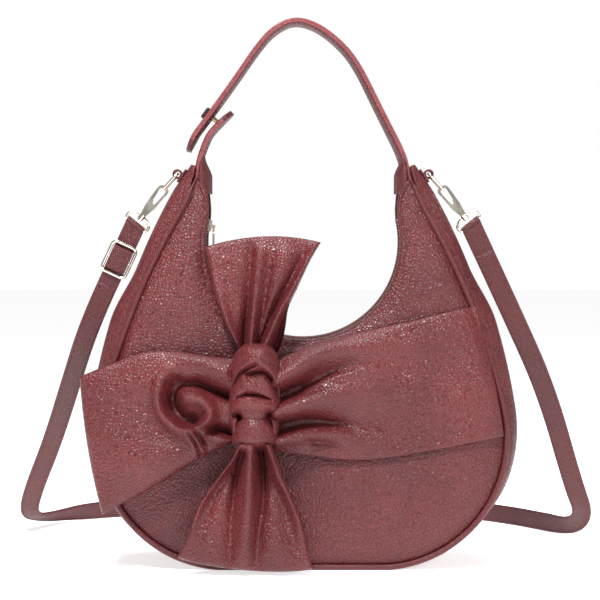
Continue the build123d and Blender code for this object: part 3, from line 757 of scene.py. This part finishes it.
# ---------------------------------------------------------------- shoulder strap
LEFT_RUN, RIGHT_RUN = np.array([-0.4226, 0, -0.9063]), np.array([0.4226, 0, -0.9063])
LEFT_BAR, RIGHT_BAR = np.array([-131.28, 0, 263.76]), np.array([131.28, 0, 263.76])
STRAP_START = LEFT_BAR + LEFT_RUN * 52
STRAP_STOP = RIGHT_BAR + RIGHT_RUN * 24
STRAP_ROUTE = [
    STRAP_START,
    STRAP_START + LEFT_RUN * 34,
    (-187, 34, 136),
    (-208, 76, 84),
    (-230, 112, 38),
    (-238, 138, 14),
    (-226, 168, 8),
    (-200, 200, 8),
    (-150, 228, 8),
    (-80, 244, 8),
    (0, 248, 8),
    (80, 240, 8),
    (138, 220, 8),
    (180, 184, 8),
    (208, 144, 8),
    (228, 108, 9),
    (234, 80, 24),
    (222, 60, 50),
    (195, 30, 132),
    STRAP_STOP + RIGHT_RUN * 46,
    STRAP_STOP,
]
route = bpy.data.curves.new("strap_route", "CURVE")
route.dimensions = "3D"
route.resolution_u = 24
nurbs = route.splines.new("NURBS")
nurbs.points.add(len(STRAP_ROUTE) - 1)
for control, place in zip(nurbs.points, STRAP_ROUTE):
    control.co = (*(float(v) * MM for v in place), 1.0)
nurbs.order_u = 3
nurbs.use_endpoint_u = True
route_obj = bpy.data.objects.new("strap_route", route)
bpy.context.scene.collection.objects.link(route_obj)
route_mesh = bpy.data.meshes.new_from_object(route_obj)
strap_path = [tuple(v.co) for v in route_mesh.vertices]
bpy.data.objects.remove(route_obj)
centre = np.array(strap_path) / MM

# width directions of the flat strap at places along it: faces the front on the hanging legs,
# and stands on its edge where it lies round the back
WIDTHS = [
    (0.00, (-0.906, 0.0, 0.423)),
    (0.14, (-0.93, 0.0, 0.36)),
    (0.22, (-0.90, 0.05, 0.10)),
    (0.285, (-0.60, 0.10, -0.60)),
    (0.34, (-0.15, 0.10, -1.0)),
    (0.40, (0.0, 0.0, -1.0)),
    (0.66, (0.0, 0.0, -1.0)),
    (0.715, (0.15, 0.0, -0.98)),
    (0.775, (0.75, 0.10, -0.35)),
    (0.83, (0.93, 0.05, 0.15)),
    (1.00, (0.906, 0.0, 0.423)),
]
lengths = np.concatenate([[0], np.cumsum(np.linalg.norm(np.diff(centre, axis=0), axis=1))])
strap_total = lengths[-1]
fractions = lengths / strap_total
wide = np.stack([np.interp(fractions, [w[0] for w in WIDTHS], [w[1][k] for w in WIDTHS])
                 for k in range(3)], 1)
run = np.gradient(centre, axis=0)
run /= np.linalg.norm(run, axis=1)[:, None]
wide -= run * (wide * run).sum(1)[:, None]
wide /= np.linalg.norm(wide, axis=1)[:, None]
facing_out = np.cross(run, wide)
STRAP_HALF, STRAP_THICK = 8.0, 1.3
section = [(a * (STRAP_HALF - 0.5), STRAP_THICK * (1 + 0.10 * cos(3.1416 * a * 0.9)))
           for a in np.linspace(-1, 1, 13)]
rim = [(STRAP_HALF - 0.12, STRAP_THICK * 0.72), (STRAP_HALF, STRAP_THICK * 0.3),
       (STRAP_HALF - 0.2, 0.0), (STRAP_HALF, -STRAP_THICK * 0.3),
       (STRAP_HALF - 0.12, -STRAP_THICK * 0.72)]
section = section + rim + [(-a, -b) for a, b in section] + [(-a, -b) for a, b in rim]
section = np.array(section)
points = (centre[:, None] + wide[:, None] * section[None, :, :1]
          + facing_out[:, None] * section[None, :, 1:])
points[..., 2] = np.maximum(points[..., 2], 0.2)
faces = quads(len(centre), len(section), wrap=True)
faces.append(tuple(range(len(section))))
faces.append(tuple(reversed(range((len(centre) - 1) * len(section), len(centre) * len(section)))))
strap_obj = piece("shoulder_strap", points.reshape(-1, 3), faces, strap_leather, "bag",
                  ["crossbody_strap"])
runs = []
for side in (1, -1):
    for face in (1, -1):
        row = centre + wide * side * 6.2 + facing_out * face * (STRAP_THICK + 0.12)
        row[:, 2] = np.maximum(row[:, 2], 0.5)
        runs.append((row, facing_out * face))
strap_stitching = stitches("strap_stitching", runs, "bag", pitch=3.6)


# ---------------------------------------------------------------- bow
# how deep the folds of each piece are, and how closely a piece's underside follows them
SASH_FOLDS, LEFT_FOLDS, TOP_FOLDS, BOTTOM_FOLDS, KNOT_FOLDS = 2.3, 1.6, 1.45, 1.5, 1.5
UNDERSIDE = 0.85
FLOOR_GAP = 0.3


def reliefs(points, strokes):
    """Height added at each place by folds: each stroke is a line, its heights and its widths."""
    total = np.zeros(points.shape[:2])
    flat_points = points.reshape(-1, 2)
    for line, heights, widths, *kind in strokes:
        dense = spline(line, 70)
        gaps = np.linalg.norm(flat_points[:, None] - dense[None], axis=2)
        nearest = gaps.argmin(1)
        where = nearest / (len(dense) - 1)
        height = np.interp(where, np.linspace(0, 1, len(heights)), heights)
        width = np.interp(where, np.linspace(0, 1, len(widths)), widths)
        ratio = gaps[np.arange(len(nearest)), nearest] / width
        shape = np.exp(-(ratio**2)) if not kind else np.exp(-1.4 * np.abs(ratio) ** 1.25)
        total += (height * shape).reshape(total.shape)
    return total


def ruled(first, second, along, across, arch=0.0, power=4):
    """Grid between two edges; row 0 is at the knot. arch bows the far end outwards."""
    a, b = spline(first, along), spline(second, along)
    t = np.linspace(0, 1, across)
    t = 0.35 * (0.5 - 0.5 * np.cos(np.pi * t)) + 0.65 * t
    grid = a[:, None] * (1 - t[None, :, None]) + b[:, None] * t[None, :, None]
    if arch:
        s = np.linspace(0, 1, along)[:, None]
        ends = np.array([a[-1] - a[-2], b[-1] - b[-2]]).mean(0)
        ends /= np.linalg.norm(ends)
        grid = grid + (arch * s**power * 4 * t * (1 - t))[..., None] * ends
    return grid


def edge_distance(grid, far_end=True):
    """Distance from each point to the sides, and to the far end if far_end."""
    sides = np.minimum(np.linalg.norm(grid - grid[:, :1], axis=2),
                       np.linalg.norm(grid - grid[:, -1:], axis=2))
    if far_end:
        sides = np.minimum(sides, np.linalg.norm(grid - grid[-1:], axis=2))
    return sides


def lens(name, grid, middle, thickness, rounding, nodes, folds, far_rim=True):
    """A closed leather piece on the front: its middle surface, thickness and rounded rim."""
    inside = np.clip(edge_distance(grid, far_rim) / rounding, 0, 1)
    full = np.sqrt(np.maximum(1 - (1 - inside) ** 2, 0))
    top = middle + thickness / 2 * full + folds * full
    low = middle - thickness / 2 * full + folds * full * UNDERSIDE
    along, across = grid.shape[:2]
    front = on_front(grid[..., 0], grid[..., 1], top)
    back = on_front(grid[..., 0], grid[..., 1], low)
    front[..., 2] = np.maximum(front[..., 2], FLOOR_GAP)
    back[..., 2] = np.maximum(back[..., 2], FLOOR_GAP)
    points = np.vstack([front.reshape(-1, 3), back.reshape(-1, 3)])
    faces = closed_grid(along, across, (0, along - 1))
    return piece(name, points, faces, bow_leather, "bag", nodes)


def clears(grid, gap):
    return np.array([[panel_height(x, z) + gap for x, z in row] for row in grid])


# sash: from the knot across the front to the seam on the right
sash = ruled(
    [(-24, 158), (-12, 163), (10, 172), (40, 180), (77, 188), (110, 196), (132.5, 201)],
    [(-24, 90), (-10, 88.5), (14, 86), (26, 84), (55, 83.8), (98, 90.5), (153.6, 101)],
    120, 90, arch=2.0, power=3,
)
sash_folds = [
    ([(-20, 143), (-6, 152), (14, 165), (49, 171), (90, 177), (125, 184)],
     (6.5, 5.0, 2.0, 0.6), (9, 11, 15, 22)),
    ([(-20, 131), (-8, 136), (5, 141.5), (22, 149), (49, 158)], (-11, -7, -3, 0), (5, 6, 8, 10), 1),
    ([(2, 139), (14, 144), (40, 150), (68, 152)], (2.4, 1.8, 0), (3.5, 4, 7)),
    ([(-20, 120), (-6, 124), (14, 130), (40, 138), (80, 146)], (7, 5, 2.5, 0.5), (9, 12, 18, 24)),
    ([(-20, 108), (1, 112.5), (22, 111.5), (45, 108)], (-10, -6, -1.5), (4.5, 5.5, 8), 1),
    ([(-20, 98), (14, 104), (40, 100), (70, 98)], (5, 4, 1.5, 0), (6, 7, 10, 14)),
    ([(6, 97), (18, 96), (34, 92)], (-2.2, -1.5, 0), (3, 4, 5), 1),
    ([(60, 128), (100, 132), (140, 138)], (0.5, 1.0, 0.3), (20, 24, 24)),
]
base = clears(sash, 1.8) + 4.0 * np.exp(-(((sash[..., 0] + 20) / 45.0) ** 2))
near = np.clip((sash[..., 0] + 24) / 60.0, 0, 1)
base += 3.0 * (1 - near) ** 2
relief = SASH_FOLDS * reliefs(sash, sash_folds)
relief = np.maximum(relief, -(base - 2.0) * 0.9 + 0.8)
sash_obj = lens("bow_sash", sash, base + 1.0, 2.2, 4.0, ["sash_right"], relief, far_rim=False)

# left tail, a wide flattened tube with a crumpled pocket beside the knot
left_tail = ruled(
    [(-50, 160), (-62, 160.5), (-75, 162.5), (-95, 165.3), (-119, 165.2), (-144, 157),
     (-170.0, 146.6)],
    [(-50, 98), (-60, 94), (-72, 88), (-86, 80), (-109, 66.5), (-131, 54), (-152.0, 42.4)],
    130, 100, arch=3.0, power=2,
)
left_folds = [
    ([(-102, 150), (-108.5, 136), (-107, 121.6), (-99, 110.5), (-87, 102.4), (-78, 92.5),
      (-72, 87.5)], (2.5, 5.0, 5.5, 5.0, 4.0), (6, 6, 5, 4)),
    ([(-98, 142), (-99.5, 125), (-92.5, 116), (-84, 113.5)], (-6, -10, -9, -6), (6, 6.5, 6, 5)),
    ([(-90, 131), (-84, 129.5), (-75.3, 127.5), (-69.5, 119.5), (-74, 110.5), (-84, 106)],
     (3.5, 6.5, 6.5, 4.5), (5, 5, 4.5, 4)),
    ([(-92, 141), (-80, 141), (-69, 136.5), (-56, 131.5)], (-6, -9, -10, -11), (4.5, 4.5, 4.5), 1),
    ([(-88, 157), (-75, 156), (-60, 150)], (2.5, 4, 5), (12, 10, 8)),
    ([(-79, 107), (-70, 108), (-63, 107), (-54, 104)], (-3, -8, -9), (3.5, 4, 4), 1),
    ([(-86, 104), (-81, 96), (-77, 86)], (-4, -5, -4), (1.8, 1.8, 2), 1),
    ([(-80, 104), (-76, 97), (-71.5, 89)], (-3, -4, -3), (1.6, 1.6, 1.8), 1),
    ([(-70, 101), (-62, 99), (-55, 97)], (2.5, 3.5, 3.5), (4, 4, 4)),
    ([(-116, 124), (-108, 106), (-92, 95)], (-1.6, -2.2, -1.2), (8, 8, 7)),
    ([(-150, 140), (-135, 125), (-120, 150)], (1.0, 0.0, 1.5), (18, 18, 18)),
    ([(-152, 100), (-130, 84), (-100, 84)], (2.0, 2.5, 2.0), (20, 22, 16)),
]
knot_side = np.clip((left_tail[..., 0] + 165) / 110.0, 0, 1)
base = 15.0 + 5.0 * knot_side + 3.5 * np.clip(edge_distance(left_tail) / 22.0, 0, 1)
base = np.maximum(base, clears(left_tail, 7.0))
left_obj = lens("bow_tail_left", left_tail, base, 5.5, 5.0, ["tail_left"],
                LEFT_FOLDS * reliefs(left_tail, left_folds))

# top tail, fanned out above the knot with its right edge rolled forward
top_tail = ruled(
    [(-46, 163), (-50, 170), (-58.5, 185.6), (-64, 200), (-68.5, 214), (-72, 232), (-75.2, 245.0)],
    [(-19, 163), (-15.6, 172), (-13.2, 185), (-11, 198.6), (-4, 214), (5, 233.5), (13.6, 248.6)],
    110, 90, arch=6.5, power=3,
)
top_folds = [
    ([(-72, 238), (-66, 214), (-60, 192), (-51, 168)], (1.0, 2.5, 5.0, 5.0), (8, 7, 5, 4.5)),
    ([(-39.5, 243), (-41.7, 205), (-44.2, 180), (-45.2, 165)], (-3.0, -5.5, -9, -10),
     (5, 6, 4.5, 3.5), 1),
    ([(-33, 240), (-38, 205), (-39.4, 173), (-39, 163)], (3.0, 3.5, 4.5, 5.0), (6, 5, 4, 4)),
    ([(-25.5, 236), (-29, 205), (-35, 173)], (-1.5, -3.5, -5), (6, 5, 3), 1),
    ([(-14, 238), (-19, 218), (-25, 200)], (2.5, 2.5, 1.0), (8, 7, 5)),
    ([(0, 240), (-9, 221), (-20, 201), (-33.4, 170)], (-2.0, -4.0, -7.0, -9), (4.5, 4.5, 4, 3), 1),
    ([(10.5, 243), (1.5, 228), (-9.6, 209), (-20, 190), (-30, 168)], (3.5, 4.5, 6, 6.0),
     (4.5, 4.2, 4, 4)),
    ([(-11, 197), (-15, 184), (-21, 168)], (-5, -7, -8), (4, 4.5, 5)),
]
fall = np.linspace(0, 1, len(top_tail))[:, None]
base = 24.0 - 9.0 * fall + 2.0 * np.clip(edge_distance(top_tail) / 18.0, 0, 1)
base = np.maximum(base, clears(top_tail, 8.0))
top_obj = lens("bow_tail_top", top_tail, base, 4.0, 3.4, ["tail_top"],
               TOP_FOLDS * reliefs(top_tail, top_folds))

# bottom tail, hanging from the knot to the floor in three folds
bottom_tail = ruled(
    [(-49, 96), (-53, 86), (-64, 71), (-73, 59), (-79.5, 48), (-87, 28), (-94.6, 11.2)],
    [(-24, 96), (-20, 86), (-12, 66), (-4.6, 48), (0.4, 34), (4.0, 16), (7.0, 2.6)],
    110, 100, arch=0.0,
)
hem = np.linspace(0, 1, bottom_tail.shape[1])
down = np.linspace(0, 1, bottom_tail.shape[0])[:, None]
bottom_tail[..., 1] -= down**3 * 4 * (hem * (1 - hem)) * 5.2
bottom_folds = [
    ([(-47, 94), (-60, 76), (-72, 60), (-80, 46), (-86, 28), (-90, 14)], (7, 6, 5, 2.5, 1.0),
     (4, 4, 5, 8)),
    ([(-46, 90), (-51, 67), (-54, 39), (-55.6, 6)], (-9, -7, -3.5, -2.0), (3.5, 6, 6, 5), 1),
    ([(-56, 76), (-68, 58), (-76, 38)], (-4, -4, -1.5), (5, 6, 7)),
    ([(-39.5, 95), (-40.6, 59), (-43, 28), (-45, 5)], (7.5, 6, 4.5, 3), (5, 5.5, 6, 7)),
    ([(-31.5, 90), (-29.8, 59), (-33.5, 28), (-35, 8)], (-10, -8, -4.5, -2.0), (3.5, 6, 6, 5), 1),
    ([(-26, 95), (-16, 68), (-5.6, 46), (-1.5, 31), (3.5, 5)], (7, 6, 5, 2.5, 1.0), (4, 4.5, 5, 8)),
    ([(-19, 60), (-12, 40), (-8, 18)], (-3, -3, -1.0), (6, 7, 7)),
    ([(-70, 20), (-66, 8)], (2.0, 2.5), (9, 10)),
    ([(-20, 20), (-16, 4)], (2.5, 2.5), (10, 10)),
]
base = 27.0 + 1.5 * np.clip(edge_distance(bottom_tail) / 14.0, 0, 1) - 2.4 * down**2
bottom_obj = lens("bow_tail_bottom", bottom_tail, base, 4.5, 3.2, ["tail_bottom"],
                  BOTTOM_FOLDS * reliefs(bottom_tail, bottom_folds))

# knot: the sash wrapped over itself, with tucked creases between the wraps
knot = ruled(
    [(-44, 171.5), (-51, 165), (-54.5, 156), (-55, 142), (-56.2, 126), (-56.4, 114), (-54, 104),
     (-54, 96)],
    [(-27, 171.5), (-20.5, 165), (-17.6, 156), (-17.4, 142), (-16.8, 126), (-17.4, 114),
     (-18.6, 104), (-19.0, 96)],
    190, 90, arch=4.0, power=12,
)
knot_folds = [
    ([(-36, 163), (-30, 164)], (4.0, 3.5), (9, 9)),
    ([(-53, 139), (-49, 145.5), (-45.5, 149.8), (-40, 153), (-35.5, 154.8)],
     (-6, -7, -7, -4), (1.8, 1.6, 1.5), 1),
    ([(-42, 148), (-36, 149.5), (-30, 149.9), (-25, 145.5), (-21.5, 139), (-18.5, 131)],
     (-4, -7, -9, -8), (1.6, 1.9, 2.3), 1),
    ([(-45.5, 152.5), (-40, 156), (-33, 157)], (2.2, 2.5, 1.5), (3, 3.4, 3.5)),
    ([(-30, 154), (-24, 150), (-20, 143)], (1.8, 2.6, 2.5), (3.2, 3.2, 3)),
    ([(-44.5, 146), (-43, 141), (-38, 138)], (2.5, 2.5, 2), (2.6, 3.4, 4)),
    ([(-51, 130.3), (-44, 132.2), (-38.5, 132.8), (-31, 131.2), (-23.5, 128.6)],
     (-2.5, -5.5, -5.5, -2.5), (1.3, 1.4, 1.3), 1),
    ([(-54, 124.5), (-45, 124.6), (-38, 124.4), (-29, 124.6), (-19, 125.5)],
     (2.5, 4.0, 2.5), (4.5, 5, 4.5)),
    ([(-52.5, 117), (-49.5, 118), (-47.5, 116)], (-8, -9, -6), (2.2, 2.6, 2.2), 1),
    ([(-27, 118), (-24.3, 118.6), (-21, 116)], (-6, -9, -8), (2.2, 2.6, 2.2), 1),
    ([(-47.5, 116), (-50.5, 108), (-52.8, 101)], (-6, -4, -1), (2.0, 1.8, 1.6), 1),
    ([(-26.5, 116), (-22.5, 107), (-19.6, 100)], (-6, -4, -1), (2.0, 1.8, 1.6), 1),
    ([(-36.5, 116), (-36.5, 106), (-36.5, 98)], (1.0, 2.0, 2.5), (6, 9, 12)),
]
across = (knot[..., 0] - (knot[:, :1, 0] + knot[:, -1:, 0]) / 2) / (
    (knot[:, -1:, 0] - knot[:, :1, 0]) / 2)
round_over = np.sqrt(np.maximum(1 - np.abs(across) ** 2.6, 0))
level = knot[..., 1]
body_height = 25.0 + 3.0 * np.exp(-((level - 160) / 12) ** 2)
body_height -= 2.0 * np.exp(-((level - 116) / 5) ** 2)
folds = KNOT_FOLDS * reliefs(knot, knot_folds) * round_over
ends = np.minimum(np.linalg.norm(knot - knot[:1], axis=2), np.linalg.norm(knot - knot[-1:], axis=2))
end_round = np.sqrt(np.maximum(1 - (1 - np.clip(ends / 8.0, 0, 1)) ** 2, 0))
rim_height, depth_behind = 20.0, 14.0
height = rim_height + (body_height - 5.0) * round_over * end_round + folds * end_round
behind = rim_height - depth_behind * round_over * end_round
points = np.vstack([on_front(knot[..., 0], knot[..., 1], level_out).reshape(-1, 3)
                    for level_out in (height, behind)])
faces = closed_grid(len(knot), knot.shape[1], (0, len(knot) - 1))
knot_obj = piece("bow_knot_wraps", points, faces, bow_leather, "bag", ["bow_knot"])

# ---------------------------------------------------------------- floor
floor_mesh = bpy.data.meshes.new("floor")
floor_mesh.from_pydata([(-6, -4, 0), (6, -4, 0), (6, 8, 0), (-6, 8, 0)], [], [(0, 1, 2, 3)])
floor = bpy.data.objects.new("floor", floor_mesh)
bpy.context.scene.collection.objects.link(floor)
floor_material, _, floor_shader, _ = new_material("floor", 0.9)
floor_shader.inputs["Base Color"].default_value = (0.92, 0.92, 0.92, 1.0)
floor_shader.inputs["Emission Color"].default_value = (1.0, 1.0, 1.0, 1.0)
floor_shader.inputs["Emission Strength"].default_value = 0.68
floor_mesh.materials.append(floor_material)
